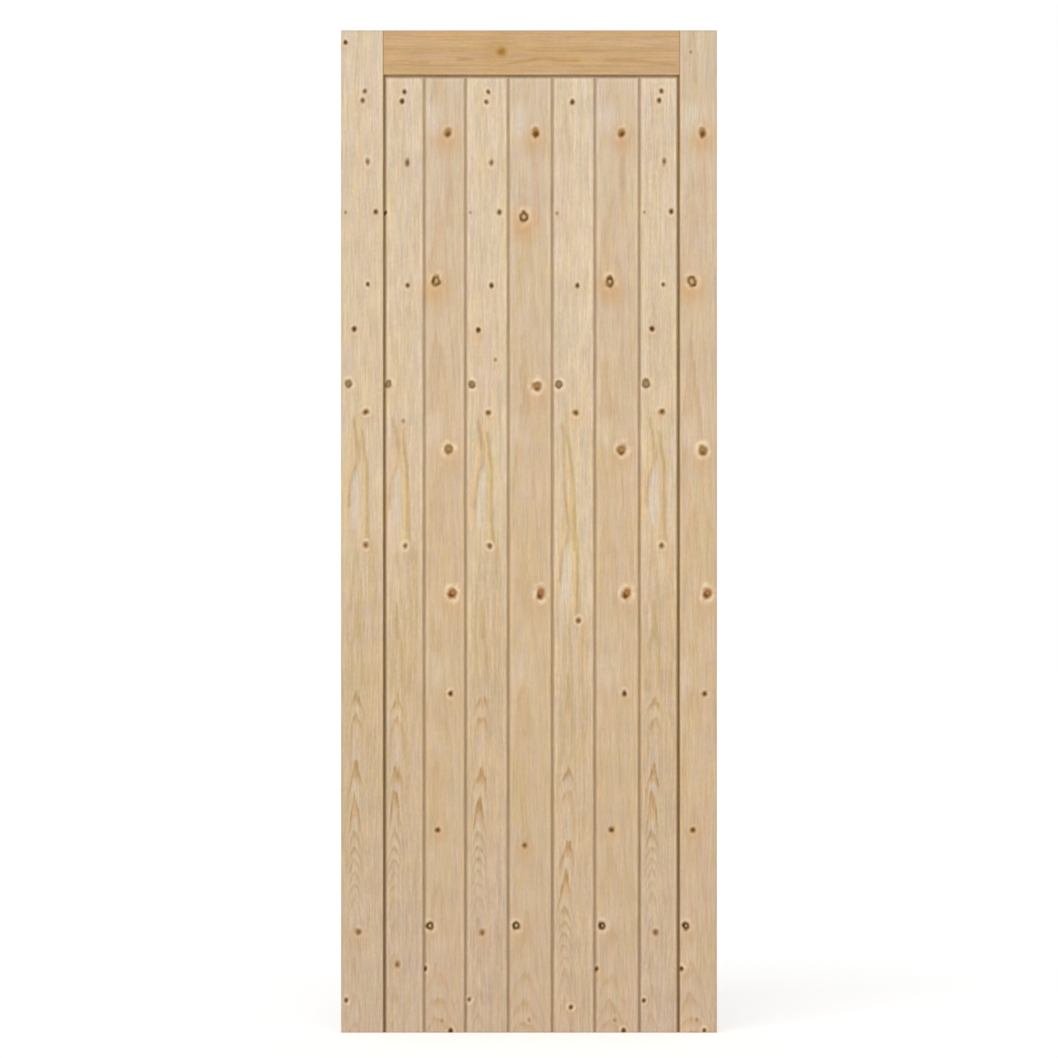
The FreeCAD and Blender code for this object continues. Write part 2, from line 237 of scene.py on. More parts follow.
class Sawing(Enum):
    """How timbers are sawn: slabs with arches and flames, knotty ones, plain stock and a quiet rail.

    Forked is a flamed slab whose longest flame splits once more.
    """

    FLAMED = Figure(
        pith=((0, 14), (420, 14), (490, 20), (560, 28), (2032, 28)),
        ring_width=5.5,
        climb=((0, 0), (40, 1), (95, 2), (166, 3), (236, 4), (282, 5), (304, 6), (329, 7), (353, 8), (377, 9),
               (411, 10), (488, 11), (547, 12), (600, 12.2), (645, 13), (689, 14), (950, 15), (2032, 17)),
        bold=(0.25, 0.25, 0.2, 0.2, 0.25, 0.3, 0.3, 0.42, 0.5, 0.5, 0.75, 0.8, 0.5, 0.6, 0.12, 0.1, 0.1, 0.1),
        amber=((0, 0.05), (400, 0.05), (450, 0.4), (560, 0.4), (610, 0.15), (700, 0.15), (760, 0.05),
               (2032, 0.05)),
        wander=((0, -5), (320, -5), (410, -4.5), (488, -3.5), (547, 0), (2032, 0)),
        fade=(6, 18, 0.12),
        veins=(
            # A straw band with a brown edge runs from one pin knot down to the next.
            Vein(((980, 14), (1044, 15), (1095, 15.5), (1131, 14.5), (1171, 9.5), (1197, 5), (1240, 6)),
                 9, "#DEBF8E", 0.9),
            Vein(((985, 18), (1019, 20.3), (1108, 20.3), (1146, 19.7), (1166, 16.4), (1189, 13.4),
                  (1225, 11)), 6.5, "#C5A874", 0.95),
            # Its partner leaves the apex between the knots and opens to the left.
            Vein(((1060, -16), (1111, -11.9), (1129, -8.1), (1141, -4.3), (1154, 0), (1174, 2), (1205, 0)),
                 8, "#C9AA81", 0.9),
            Vein(((1030, -23), (1070, -23), (1095, -22), (1131, -17), (1171, -9), (1205, -8)),
                 9, "#DEBD90", 0.85),
            Vein(((1180, 1), (1208, -2), (1222, -3.5), (1234, -6), (1250, -6)), 7, "#C5A67D", 0.9),
            # Greyer early wood fills the fork.
            Vein(((1020, -4), (1080, -2), (1113, 0), (1146, 0)), 12, "#D8C9B3", 0.8, taper=30),
            # A spindle: one dark point that splits in two.
            Vein(((795, 2), (845, 1), (862, 0), (880, 0)), 7, "#C4A87C", 0.95),
            Vein(((690, -10.5), (740, -9.5), (780, -9), (805, -4), (835, 0)), 6.5, "#C7AC81", 0.85),
            Vein(((700, 8.5), (745, 9.5), (780, 9), (805, 6), (835, 2)), 6.5, "#C7AC81", 0.85),
            # Two fainter legs around it, and a straw band on its right.
            Vein(((690, -16), (760, -16), (876, -12), (930, -7), (980, -2)), 5.5, "#C9AE86", 0.6),
            Vein(((690, 17), (760, 16), (800, 14), (870, 10), (927, 6), (975, 2)), 5.5, "#C9AE86", 0.6),
            Vein(((680, 31), (830, 32), (1000, 30)), 17, "#CDAC7E", 0.5, taper=40),
        ),
    )
    FORKED = replace(FLAMED, veins=(
        *FLAMED.veins,
        # The fork reaches up to the next knot: one long leg and a fainter stem.
        Vein(((1125, 13), (1160, 12.5), (1210, 12), (1260, 11), (1300, 8), (1330, 4.5), (1365, 0)),
             6.5, "#C9AB78", 0.9),
        Vein(((1130, 6), (1210, 6), (1260, 5), (1300, 1), (1350, -3)), 8, "#DEBF8E", 0.7),
        Vein(((1240, -6.5), (1300, -7.5), (1350, -8), (1368, -9), (1390, -12)), 6.5, "#C5A97F", 0.75),
    ))
    KNOTTY = Figure(
        pith=((0, 85), (2032, 85)),
        ring_width=5,
        climb=((0, 0), (28, 1), (71, 2), (134, 3), (260, 4), (480, 5), (760, 6), (1080, 7), (1400, 8),
               (1700, 9), (2032, 10)),
        bold=(0.4, 0.4, 0.35, 0.25, 0.2, 0.25, 0.2, 0.25, 0.2, 0.25, 0.2, 0.25, 0.2),
        fade=(10, 28, 0.7),
        veins=(
            # Paler wood above the branch knots, and one long straw patch.
            Vein(((1812, -8), (1852, -8), (1894, -8)), 36, "#E6D9C8", 0.45, taper=38),
            Vein(((1178, -10), (1217, -10), (1260, -10)), 36, "#E4D0B6", 0.4, taper=38),
            Vein(((686, -6), (730, -6), (780, -6)), 36, "#DFCCB5", 0.42, taper=42),
            Vein(((410, -10), (500, -10), (580, -10)), 34, "#CEAE80", 0.5, taper=50),
            # A rosy streak under the uppermost knot.
            Vein(((1630, 20), (1700, 24), (1780, 23)), 13, "#CDA57C", 0.4, taper=30),
        ),
    )
    PLAIN = Figure(
        pith=((0, 60), (2032, 60)),
        ring_width=4.5,
        climb=((0, 0), (60, 1), (180, 2), (330, 3), (420, 4), (610, 5), (900, 6), (1300, 7), (1600, 8),
               (2032, 9)),
        bold=(0.5, 0.6, 0.45, 0.55, 0.6, 0.5, 0.4, 0.6, 0.5, 0.55, 0.45, 0.6, 0.5, 0.55, 0.45, 0.6),
    )
    QUIET = Figure(
        pith=((0, 60), (762, 60)),
        ring_width=6,
        climb=((0, 0), (250, 0.5), (762, 0.8)),
        bold=(0.2, 0.25, 0.15, 0.25, 0.12, 0.2, 0.15, 0.2, 0.12, 0.2, 0.12, 0.2, 0.12, 0.2, 0.12, 0.2),
        amber=((0, 0), (1, 0)),
        fade=(10, 28, 1),
        veins=(
            # Long waves below the knot, and a greyer and a browner strip above it.
            Vein(((335, -58), (350, -61), (375, -63), (411, -67), (430, -65), (450, -62), (490, -63)),
                 7, "#BD9056", 0.75),
            Vein(((530, -62), (575, -63), (600, -62), (625, -59), (650, -55), (680, -52)),
                 6, "#BF935A", 0.7),
            Vein(((228, -62), (250, -65), (272, -65)), 6, "#B98D57", 0.8),
            Vein(((100, -58), (130, -63), (150, -59), (185, -62)), 7, "#C09763", 0.6),
            Vein(((80, -102), (380, -101), (690, -103)), 8, "#D2B18B", 0.6),
            Vein(((80, -86), (380, -85), (690, -87)), 9, "#C79E6E", 0.5),
        ),
    )


class Year(Enum):
    """How one year's growth runs: its dark late line, its resin and its pale early wood."""

    LATE = ((0.0, 0.0), (0.4, 0.0), (0.62, 0.3), (0.87, 1.0), (0.96, 0.75), (1.0, 0.0))
    AMBER = ((0.0, 0.0), (0.38, 0.0), (0.5, 1.0), (0.85, 0.9), (1.0, 0.2))
    PALE = ((0.0, 0.6), (0.2, 1.0), (0.45, 0.3), (0.7, 0.0), (1.0, 0.0))


@dataclass(frozen=True)
class PlanedRedwood:
    """Kiln-dried redwood, planed and left bare.

    The planer leaves a dull sheen with fine fibre streaks along the grain. Each year's
    growth goes from pale early wood to a tan late line and stops sharply. Straw and blush
    patches drift through it, and cut end grain drinks the light and looks darker.
    """

    head: str
    middle: str
    lower: str
    foot: str
    late: str
    amber: str
    early: str = "#D6C9B0"
    halo: str = "#F8E1C0"
    resin: str = "#D29A59"
    roughness_early: float = 0.62
    roughness_late: float = 0.5
    ior: float = 1.5
    specular: float = 0.18
    relief: float = 0.12
    streaks: float = 0.115


FLAMED_REDWOOD = PlanedRedwood(head="#DFC9AC", middle="#DAC2A0", lower="#CFB491", foot="#CAB297",
                               late="#A98453", amber="#D6A268")
KNOTTY_REDWOOD = PlanedRedwood(head="#D9C3A7", middle="#D6BA96", lower="#D2B793", foot="#CCB294",
                               late="#B28D60", amber="#D2A468", streaks=0.08)
RAIL_REDWOOD = PlanedRedwood(head="#CFAB7D", middle="#CEA97B", lower="#CEA97B", foot="#CEA97C",
                             late="#A77538", amber="#C98F4F", early="#D5B283", halo="#DDB984",
                             resin="#BD8A47", streaks=0.08)
WEDGE_REDWOOD = PlanedRedwood(head="#C4A273", middle="#C4A273", lower="#C4A273", foot="#C4A273",
                              late="#9C7040", amber="#B98A50")
BACK_REDWOOD = PlanedRedwood(head="#D9C19D", middle="#D6BD98", lower="#D5BB95", foot="#D3B993",
                             late="#BE935C", amber="#D0A066")


class Shade(Enum):
    """Where wood is darker or paler: from which measure, at which one fully, and the colour left.

    The first is measured as how squarely a face cuts the grain, the second in metres past the
    leaf's outer edge, and the rest in mm past the edge of a timber's flat face. End grain is the
    wood's own darker colour; the rest are painted shade and painted highlights.
    """

    END_GRAIN = (0.75, 0.95, (0.82, 0.75, 0.66))
    # Painted shade along the outline of the leaf's wide faces.
    PAINTED_RIM_SHADE = (0.005, 0.009, (0.86, 0.89, 0.92))
    # Painted highlight on the strip beside each V groove.
    BOARD_EDGE_HIGHLIGHT = (-9.0, -4.0, (1.06, 1.06, 1.06))
    # Painted shade on the flanks of each V groove.
    V_FLANK_SHADE = (-2.2, 1.4, (0.735, 0.72, 0.69))
    # Painted shade on the flank and floor of the gap between the boards and the frame.
    GAP_FLANK_SHADE = (0.2, 1.5, (0.78, 0.75, 0.69))
    GAP_FLOOR_SHADE = (3.4, 4.0, (0.92, 0.8, 0.58))
    # Painted highlight on the strip beside the frame's inner edge.
    FRAME_EDGE_HIGHLIGHT = (-8.0, -4.0, (1.05, 1.05, 1.05))
    # Painted shade on the frame's inner arris, which draws the joint line.
    FRAME_ARRIS_SHADE = (-2.8, -0.8, (0.65, 0.58, 0.45))


class SharedNodes:
    """The two node groups that every knot of every timber uses. Distances are in half-widths of the knot."""

    EDGE_SWAY = 0.9
    PATCHY_BARK = (0.36, 0.6)
    PATCHY_HALO = (0.36, 0.62)
    LEAST_HALO = 0.15
    HALO_REACH = (2.4, 1.1)
    CORE_REACH = (0.55, 0.05)
    # Resin spreads about four times as far as the knot, and most of it lies below.
    RESIN_SHRINK = (0.24, 0.0, 0.26)
    RESIN_DROP = (0.0, 0.0, 0.4)
    RESIN_REACH = (1.3, 0.0)

    def __init__(self) -> None:
        """Builds both groups once."""
        self.flow = self.build_flow()
        self.stain = self.build_stain()

    @staticmethod
    def new_group(name: str, takes: Sockets, gives: Sockets) -> bpy.types.NodeTree:
        """Makes an empty node group.

        Args:
            name: the group's name.
            takes: kinds of input and the names of each.
            gives: kinds of output and the names of each.

        Returns:
            The group, with its sockets.
        """
        group = bpy.data.node_groups.new(name, "ShaderNodeTree")
        for way, kinds in (("INPUT", takes), ("OUTPUT", gives)):
            for kind, sockets in kinds.items():
                for socket in sockets:
                    group.interface.new_socket(socket, in_out=way, socket_type=f"NodeSocket{kind}")
        return group

    def build_flow(self) -> bpy.types.NodeTree:
        """Grain that parts round one knot: adds to a sideways shift near its centre.

        Returns:
            The group.
        """
        takes = {"Float": ("Shift", "Push"), "Vector": ("Place", "Centre", "Reach")}
        group = self.new_group("grain_round_knot", takes, {"Float": ("Shift",)})
        add = partial(add_node, group)
        given = add("NodeGroupInput").node.outputs
        away = add(Op.V_SUBTRACT, (given["Place"], given["Centre"]))
        share = add(Op.V_MULTIPLY, (away, given["Reach"]))
        length = add(Op.V_LENGTH, (share,))
        near = add(MAP_RANGE, {0: length, 3: 1.0, 4: 0.0}, interpolation_type="SMOOTHERSTEP")
        aside = add(SPLIT, (away,)).node.outputs["X"]
        pull = add(Op.MULTIPLY, (aside, near))
        total = add(Op.MULTIPLY_ADD, (pull, given["Push"], given["Shift"]))
        add("NodeGroupOutput", {"Shift": total})
        return group

    def build_stain(self) -> bpy.types.NodeTree:
        """The colour of one knot: pale halo, resinous blush, ring, dark bark and open middle.

        Returns:
            The group.
        """
        takes = {
            "Color": ("Colour", "Ring", "Dark", "Core", "Pale", "Resin"),
            "Vector": ("Place", "Ragged", "Centre", "Span", "Spot"),
            "Float": ("Open", "Bare", "Full", "Halo", "Blush", "Rim", "Spread", "Whole"),
        }
        group = self.new_group("knot_colour", takes, {"Color": ("Colour",)})
        add = partial(add_node, group)
        given = add("NodeGroupInput").node.outputs
        away = add(Op.V_SUBTRACT, (given["Place"], given["Centre"]))
        share = add(Op.V_MULTIPLY, (away, given["Span"]))
        even = add(Op.V_LENGTH, (share,))
        ragged = add(SPLIT, (given["Ragged"],)).node.outputs
        uneven = add(Op.MULTIPLY_ADD, (ragged["X"], self.EDGE_SWAY, -self.EDGE_SWAY / 2))
        reach = add(Op.ADD, (even, uneven))
        drawn = add(Op.V_MULTIPLY_ADD, (share, self.RESIN_SHRINK, self.RESIN_DROP))
        along = add(Op.V_LENGTH, (drawn,))
        from_spot = add(Op.V_DISTANCE, (share, given["Spot"]))
        spotted = add(Op.ADD, (from_spot, uneven))
        from_rim = add(Op.SUBTRACT, (spotted, given["Rim"]))
        off_rim = add(Op.ABSOLUTE, (from_rim,))
        patchy = add(MAP_RANGE, (ragged["Y"], *self.PATCHY_BARK))
        barked = add(Op.MAXIMUM, (patchy, given["Whole"]))
        inside = add(MAP_RANGE, (reach, given["Bare"], given["Full"]))
        dark = add(Op.MULTIPLY, (barked, inside))
        uneven_pale = add(MAP_RANGE, (ragged["Z"], *self.PATCHY_HALO, self.LEAST_HALO))
        pale = add(Op.MULTIPLY, (uneven_pale, given["Halo"]))
        colour = given["Colour"]
        layers = (
            (reach, *self.HALO_REACH, pale, "Pale"),
            (along, *self.RESIN_REACH, given["Blush"], "Resin"),
            (reach, given["Bare"], given["Full"], 1.0, "Ring"),
            (off_rim, given["Spread"], 0.0, dark, "Dark"),
            (reach, *self.CORE_REACH, given["Open"], "Core"),
        )
        for distance, bare, full, amount, paint in layers:
            cover = add(MAP_RANGE, (distance, bare, full), interpolation_type="SMOOTHSTEP")
            strength = add(Op.MULTIPLY, (cover, amount))
            colour = add(MIX, {"Factor": strength, 6: colour, 7: given[paint]}, data_type="RGBA")
        add("NodeGroupOutput", {"Colour": colour})
        return group


@dataclass
class Timber:
    """One sawn piece: its node, how it was cut, its finish and its knots.

    Axis is where the figure's middle lies, in mm across the timber, and drop how many mm lower
    the figure sits. Joint side is the side that meets the frame's gap: -1 left, 1 right, 0 none.
    """

    node: str
    sawing: Sawing
    finish: PlanedRedwood
    axis: float
    seed: float
    knots: Knots = field(default_factory=dict)
    drop: float = 0.0
    moulded: bool = False
    joint_side: int = 0

    def dress(self, shared: SharedNodes) -> None:
        """Softens the arrises of the piece and gives it its own redwood.

        Args:
            shared: the node groups for knots.
        """
        self.soften()
        material = WoodShader(self, shared).make()
        self.piece.data.materials.clear()
        self.piece.data.materials.append(material)
        count = sum(len(spots) for spots in self.knots.values())
        LOG.info("%s: %s, %d knots", self.node, material.name, count)

    def soften(self) -> None:
        """Rounds the sharp arrises by a fraction of a millimetre, as sanding does."""
        weld = self.piece.modifiers.new("joined_corners", "WELD")
        weld.merge_threshold = SAME_PLACE
        flat = self.piece.modifiers.new("whole_faces", "DECIMATE")
        flat.decimate_type = "DISSOLVE"
        flat.angle_limit = FLAT_ANGLE
        round_off = self.piece.modifiers.new("sanded_arris", "BEVEL")
        round_off.width = ARRIS_WIDTH
        round_off.segments = 2
        round_off.limit_method = "ANGLE"
        round_off.angle_limit = SHARP_ANGLE

    @cached_property
    def piece(self) -> bpy.types.Object:
        """The CAD object of this timber."""
        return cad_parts[self.node]

    @cached_property
    def corners(self) -> list[Vector]:
        """The corners of its mesh, in metres."""
        return [vertex.co.copy() for vertex in self.piece.data.vertices]

    @cached_property
    def along(self) -> Vector:
        """Finds the direction of the grain.

        Returns:
            The direction of the longest real edge in the plane of the leaf, up or to the right.
        """
        solid = bmesh.new()
        solid.from_mesh(self.piece.data)
        bmesh.ops.remove_doubles(solid, verts=solid.verts, dist=SAME_PLACE)
        edges = [edge for edge in solid.edges if edge.calc_face_angle(0.0) > REAL_EDGE_ANGLE]
        runs = [edge.verts[1].co - edge.verts[0].co for edge in edges]
        solid.free()
        longest = max((run for run in runs if abs(run.y) < MM), key=lambda run: run.length).normalized()
        return longest if longest.z + longest.x > 0 else -longest

    @cached_property
    def turn(self) -> float:
        """The angle in radians that tips upright grain over to this timber's grain."""
        return math.atan2(self.along.x, self.along.z)

    @cached_property
    def to_own(self) -> Matrix:
        """The turn from the door's directions to the timber's own."""
        return Matrix.Rotation(self.turn, 3, "Y").transposed()

    @cached_property
    def origin(self) -> Vector:
        """Finds the corner from which the timber's own places are measured.

        Returns:
            The corner's place in the door's frame, in metres.
        """
        corners = [self.to_own @ corner for corner in self.corners]
        lowest = Vector([min(corner[side] for corner in corners) for side in range(3)])
        return self.to_own.transposed() @ lowest

    @cached_property
    def width(self) -> float:
        """Width across the grain, in mm."""
        return max(self.own_place(corner.x / MM, corner.z / MM).x for corner in self.corners)

    def face_edges(self) -> Spot:
        """Measures the flat front face.

        Returns:
            Its left, right and top edge, in the timber's own mm.
        """
        front = min(corner.y for corner in self.corners)
        flat = [corner for corner in self.corners if corner.y - front < FACE_DEPTH]
        places = [self.own_place(corner.x / MM, corner.z / MM) for corner in flat]
        across = [place.x for place in places]
        return min(across), max(across), max(place.z for place in places)

    def own_place(self, across: float, up: float) -> Vector:
        """A place on the door's face in the timber's own millimetres.

        Args:
            across: mm from the hinge edge.
            up: mm above the foot.

        Returns:
            Across the timber, 0 depth, and along its grain.
        """
        place = self.to_own @ (Vector((across * MM, self.origin.y, up * MM)) - self.origin)
        return Vector((place.x / MM, 0.0, place.z / MM))


class WoodShader:
    """Builds one timber's material from its sawing, finish and knots. Sizes in it are in mm."""

    # Each sway of the grain: width and length of its patches, and how far it moves the grain.
    SWAYS = (
        (110, 700, (9.0, 7.0, 24.0)),
        (16, 110, (6.0, 5.0, 9.0)),
        (5, 16, (1.8, 1.6, 4.5)),
    )
    # A timber's seed times these is where its noises start.
    SEED_STEPS = (7.3, 3.1, 5.7)
    # How far round a knot the grain parts, in widths of the knot, and how strongly.
    PARTED_ACROSS = 1.9
    PARTED_ALONG = 4.5
    PARTED_SHARE = 0.75
    # Rings and veins are broken where a noise is below its range, down to a share.
    BREAKS = (0.36, 0.6)
    BROKEN_RING = 0.35
    BROKEN_VEIN = 0.7
    # Heights of the lower and the middle tone, as shares of the length.
    LOWER_TONE = 0.3
    MIDDLE_TONE = 0.52
    # Chalky early wood and resin begin and are full at these distances off the axis.
    HEART_STRIP = (16.0, 2.0)
    CHALK_SHARE = 0.4
    # The range of a noise that counts, and the depth of the broad streaks and of the cross waves.
    NOISE_RANGE = (0.28, 0.72)
    BROAD_DEPTH = 0.035
    WAVE_DEPTH = 0.025
    # Drifting hues: the least share of red, green and blue, and how much a noise adds.
    HUE_LEAST = (0.95, 0.97, 0.85)
    HUE_SWING = (0.1, 0.06, 0.3)
    # How far a branch leans aside and upwards for each mm of depth.
    LEAN_ASIDE = 0.15
    LEAN_UP = 0.3
    # Only wide faces take the painted shade along the outline: narrow edges fall this many metres short of
    # it.
    SHADED_RIM_REACH = 10 * MM
    # Behind the boards, between these depths, the painted shade and highlight of the frame's joint move away.
    HIDDEN_DEPTHS = (6.0, 8.0)
    HIDDEN_SHIFT = 20.0
    RELIEF_STRENGTH = 0.6

    def __init__(self, timber: Timber, shared: SharedNodes) -> None:
        """Takes the timber and the shared groups.

        Args:
            timber: the piece to paint.
            shared: the node groups for knots.
        """
        self.timber = timber
        self.figure: Figure = timber.sawing.value
        self.finish = timber.finish
        self.shared = shared
        self.material = bpy.data.materials.new(f"planed_redwood_{timber.node}")
        self.material.use_nodes = True
        self.material.node_tree.nodes.clear()
        self.add = partial(add_node, self.material.node_tree)

    def make(self) -> bpy.types.Material:
        """Builds the whole material.

        Returns:
            The finished material.
        """
        self.find_place()
        self.bend_grain()
        self.grow_rings()
        colour = self.paint_wood()
        colour = self.draw_veins(colour)
        colour = self.streak_fibres(colour)
        colour = self.paint_knots(colour)
        colour = self.shade_cut_faces(colour)
        colour = self.shade_joints(colour)
        self.finish_surface(colour)
        return self.material

    def pattern(self, width: float, length: float, detail: float = 2.0) -> bpy.types.Node:
        """A noise stretched along the grain.

        Args:
            width: size of a patch across the grain, in mm.
            length: size of a patch along the grain, in mm.
            detail: how many finer layers it has.

        Returns:
            The noise node.
        """
        spread = (1 / width, 1 / width, 1 / length)
        start = [self.timber.seed * step for step in self.SEED_STEPS]
        placed = self.add(Op.V_MULTIPLY_ADD, (self.place, spread, start))
        return self.add("ShaderNodeTexNoise", {"Vector": placed, "Scale": 1.0, "Detail": detail}).node

    def find_place(self) -> None:
        """Measures every point in the timber's own millimetres: across, deep, along."""
        where = self.add("ShaderNodeTexCoord").node.outputs
        self.facing = where["Normal"]
        self.door_place = where["Object"]
        self.place = self.add("ShaderNodeMapping", {
            "Vector": self.door_place,
            "Location": self.timber.origin,
            "Rotation": (0.0, self.timber.turn, 0.0),
            "Scale": (MM, MM, MM),
        }, vector_type="TEXTURE")

    def bend_grain(self) -> None:
        """Lets the grain wander and part round the knots."""
        moved = self.place
        for width, length, sway in self.SWAYS:
            noise = self.pattern(width, length).outputs["Color"]
            middle = tuple(-reach / 2 for reach in sway)
            offset = self.add(Op.V_MULTIPLY_ADD, (noise, sway, middle))
            moved = self.add(Op.V_ADD, (moved, offset))
        shift: Socket | float = 0.0
        for spots in self.timber.knots.values():
            for across, up, width in spots:
                shift = self.add(GROUP, {
                    "Shift": shift,
                    "Place": self.place,
                    "Centre": self.timber.own_place(across, up),
                    "Reach": (1 / (self.PARTED_ACROSS * width), 0.0, 1 / (self.PARTED_ALONG * width)),
                    "Push": self.PARTED_SHARE,
                }, node_tree=self.shared.flow)
        sideways = self.add(JOIN, {"X": shift})
        self.grain = self.add(Op.V_SUBTRACT, (moved, sideways))

    def along_height(self, points: Points) -> Socket:
        """A value that changes smoothly along the timber.

        Args:
            points: mm along the timber, and the value there.

        Returns:
            The value at every height, level beyond the first and last point.
        """
        start, end = points[0][0], points[-1][0]
        low = min(value for _, value in points)
        high = max(value for _, value in points)
        reach = (high - low) or 1.0
        passed = self.add(MAP_RANGE, (self.rise, start, end))
        share = self.add(CURVE, {"Value": passed}, points=tuple(
            ((up - start) / (end - start), (value - low) / reach) for up, value in points))
        return self.add(MAP_RANGE, {0: share, 3: low, 4: high})

    def grow_rings(self) -> None:
        """Counts growth rings out from the pith and up along the climb of the cut."""
        figure = self.figure
        up = self.add(SPLIT, (self.grain,)).node.outputs["Z"]
        self.rise = self.add(Op.ADD, (up, self.timber.drop))
        pith = self.along_height(figure.pith)
        axis = self.add(Op.ADD, (self.along_height(figure.wander), self.timber.axis))
        heart = self.add(JOIN, {"X": axis, "Y": pith})
        from_heart = self.add(Op.V_SUBTRACT, (self.grain, heart))
        self.sideways = self.add(SPLIT, (from_heart,)).node.outputs["X"]
        self.off_axis = self.add(Op.ABSOLUTE, (self.sideways,))
        level = self.add(Op.V_MULTIPLY, (from_heart, (1.0, 1.0, 0.0)))
        radius = self.add(Op.V_LENGTH, (level,))
        past = self.add(Op.SUBTRACT, (radius, pith))
        climb = self.along_height(figure.climb)
        rings = self.add(Op.MULTIPLY_ADD, (past, 1 / figure.ring_width, climb))
        self.year = self.add(Op.FRACT, (rings,))
        number = self.add(Op.FLOOR, (rings,))
        last = len(figure.bold) - 1
        count = self.add(Op.DIVIDE, (number, last))
        self.bold = self.add(CURVE, {"Value": count}, points=tuple(
            (ring / last, share) for ring, share in enumerate(figure.bold)))
        near, far, rest = figure.fade
        faded = self.add(MAP_RANGE, (self.off_axis, near, far, 1.0, rest),
                         interpolation_type="SMOOTHSTEP")
        patches = self.pattern(9, 34).outputs[0]
        self.broken = self.add(MAP_RANGE, (patches, *self.BREAKS, self.BROKEN_RING))
        self.late = self.add(CURVE, {"Value": self.year}, points=Year.LATE.value)
        for share in (self.bold, faded, self.broken):
            self.late = self.add(Op.MULTIPLY, (self.late, share))

    def paint_wood(self) -> Socket:
        """Colours early wood, late lines and resin.

        Returns:
            The colour of clear wood, without its fibres.
        """
        height = self.add(MAP_RANGE, {0: self.rise, 2: self.figure.climb[-1][0]})
        colour = self.add("ShaderNodeValToRGB", (height,))
        stops = colour.node.color_ramp.elements
        stops[0].color = linear(self.finish.foot)
        stops[1].color = linear(self.finish.head)
        stops.new(self.LOWER_TONE).color = linear(self.finish.lower)
        stops.new(self.MIDDLE_TONE).color = linear(self.finish.middle)
        heartward = self.add(MAP_RANGE, (self.off_axis, *self.HEART_STRIP), interpolation_type="SMOOTHSTEP")
        coats = (
            (self.finish.early, Year.PALE, (self.bold, self.CHALK_SHARE, heartward)),
            (self.finish.amber, Year.AMBER, (self.along_height(self.figure.amber), heartward)),
        )
        for paint, growth, shares in coats:
            cover = self.add(CURVE, {"Value": self.year}, points=growth.value)
            for share in shares:
                cover = self.add(Op.MULTIPLY, (cover, share))
            colour = self.add(MIX, {"Factor": cover, 6: colour, 7: linear(paint)}, data_type="RGBA")
        return self.add(MIX, {"Factor": self.late, 6: colour, 7: linear(self.finish.late)}, data_type="RGBA")

    def draw_veins(self, colour: Socket) -> Socket:
        """Draws the figure's long soft lines and patches over the rings.

        Args:
            colour: the colour of clear wood.

        Returns:
            The colour with its veins.
        """
        frayed = self.add(MAP_RANGE, {0: self.broken, 1: self.BROKEN_RING, 3: self.BROKEN_VEIN})
        for vein in self.figure.veins:
            low, high = vein.path[0][0], vein.path[-1][0]
            middle = self.along_height(vein.path)
            apart = self.add(Op.SUBTRACT, (self.sideways, middle))
            apart = self.add(Op.ABSOLUTE, (apart,))
            cover = self.add(MAP_RANGE, {0: apart, 1: vein.half_width, 2: 0.0, 4: vein.share},
                             interpolation_type="SMOOTHSTEP")
            ends = ((low, 0.0), (low + vein.taper, 1.0), (high - vein.taper, 1.0), (high, 0.0))
            for share in (self.along_height(ends), frayed):
                cover = self.add(Op.MULTIPLY, (cover, share))
            colour = self.add(MIX, {"Factor": cover, 6: colour, 7: linear(vein.colour)}, data_type="RGBA")
        return colour

    def streak_fibres(self, colour: Socket) -> Socket:
        """Lays fibre streaks, mottle and drifting hues over the wood.

        Args:
            colour: the colour under them.

        Returns:
            The streaked colour.
        """
        # Real fibres are hair-fine. They are drawn 4 mm wide, so that the picture can hold them.
        self.fibre = self.pattern(4, 60, 3.0).outputs[0]
        layers = (
            (self.fibre, self.finish.streaks),
            (self.pattern(12, 200).outputs[0], self.BROAD_DEPTH),
            (self.pattern(150, 45).outputs[0], self.WAVE_DEPTH),
            (self.pattern(4, 9).outputs[0], self.finish.streaks / 2),
        )
        for noise, depth in layers:
            shade = self.add(MAP_RANGE, (noise, *self.NOISE_RANGE, 1 - depth, 1 + depth))
            colour = self.add(Op.V_SCALE, {0: colour, "Scale": shade})
        # Straw, blush and grey drift through the wood, more in its hue than in its light.
        for patches in (self.pattern(10, 30), self.pattern(24, 150)):
            hue = self.add(Op.V_MULTIPLY_ADD, (patches.outputs["Color"], self.HUE_SWING, self.HUE_LEAST))
            colour = self.add(Op.V_MULTIPLY, (colour, hue))
        return colour

    def paint_knots(self, colour: Socket) -> Socket:
        """Adds each knot, as a branch that leans through the thickness towards the timber's middle.

        Args:
            colour: the colour of clear wood.

        Returns:
            The colour with its knots.
        """
        deep = self.add(SPLIT, (self.place,)).node.outputs["Y"]
        branches = []
        for aside in (-self.LEAN_ASIDE, self.LEAN_ASIDE):
            lean = self.add(Op.V_SCALE, {0: (aside, 0.0, self.LEAN_UP), "Scale": deep})
            branches.append(self.add(Op.V_ADD, (self.place, lean)))
        ragged = self.pattern(14, 15, 1.0).outputs["Color"]
        for kind, spots in self.timber.knots.items():
            look: KnotLook = kind.value
            given = {name.title(): linear(getattr(look, name)) for name in ("ring", "dark", "core")}
            for name in ("open", "halo", "blush", "rim", "spread"):
                given[name.title()] = getattr(look, name)
            for across, up, width in spots:
                centre = self.timber.own_place(across, up)
                colour = self.add(GROUP, given | {
                    "Colour": colour,
                    "Place": branches[centre.x > self.timber.width / 2],
                    "Ragged": ragged,
                    "Centre": centre,
                    "Span": (2 / width, 0.0, 2 / (width * look.tall)),
                    "Spot": (look.spot[0], 0.0, look.spot[1]),
                    "Pale": linear(self.finish.halo),
                    "Resin": linear(self.finish.resin),
                    "Bare": 1 + look.soft,
                    "Full": 1 - look.soft,
                    "Whole": float(look.rim == 0.0),
                }, node_tree=self.shared.stain)
        return colour

